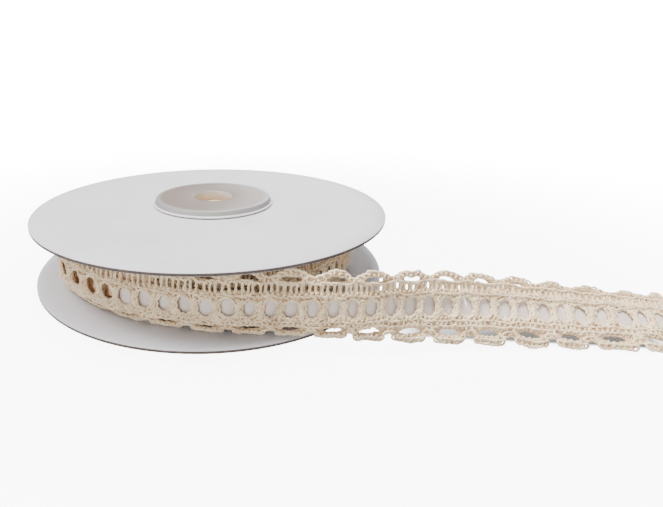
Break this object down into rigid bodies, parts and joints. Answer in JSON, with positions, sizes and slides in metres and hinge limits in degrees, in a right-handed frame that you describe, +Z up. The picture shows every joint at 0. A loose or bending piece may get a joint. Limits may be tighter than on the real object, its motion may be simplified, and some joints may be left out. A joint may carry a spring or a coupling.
{
  "type": "card reel of lace trim",
  "caption": "Flat card reel of cream scalloped crochet lace with a satin ribbon threaded through its eyelets, the loose end running off to one side.",
  "frame": {"origin": "centre of the whole part's footprint, on the surface that the reel lies on", "axes": "+Z up along the reel's axis, +X the way the loose end runs, +Y away from the side where it leaves the roll"},
  "size_m": [0.1558, 0.1074, 0.022],
  "materials": {
    "white_card": "matt white card with a bare grey-brown cut edge",
    "milky_plastic": "milky translucent moulded plastic, satin",
    "cream_cotton": "natural cream cotton crochet lace, matt",
    "white_satin": "white satin ribbon with a soft sheen"
  },
  "bodies": {
    "root": {"disc_lower": "white_card", "disc_upper": "white_card", "hub_lower": "milky_plastic", "hub_upper": "milky_plastic", "lace_roll": "cream_cotton", "lace_tail": "cream_cotton", "ribbon_tail": "white_satin"}
  },
  "joints": []
}
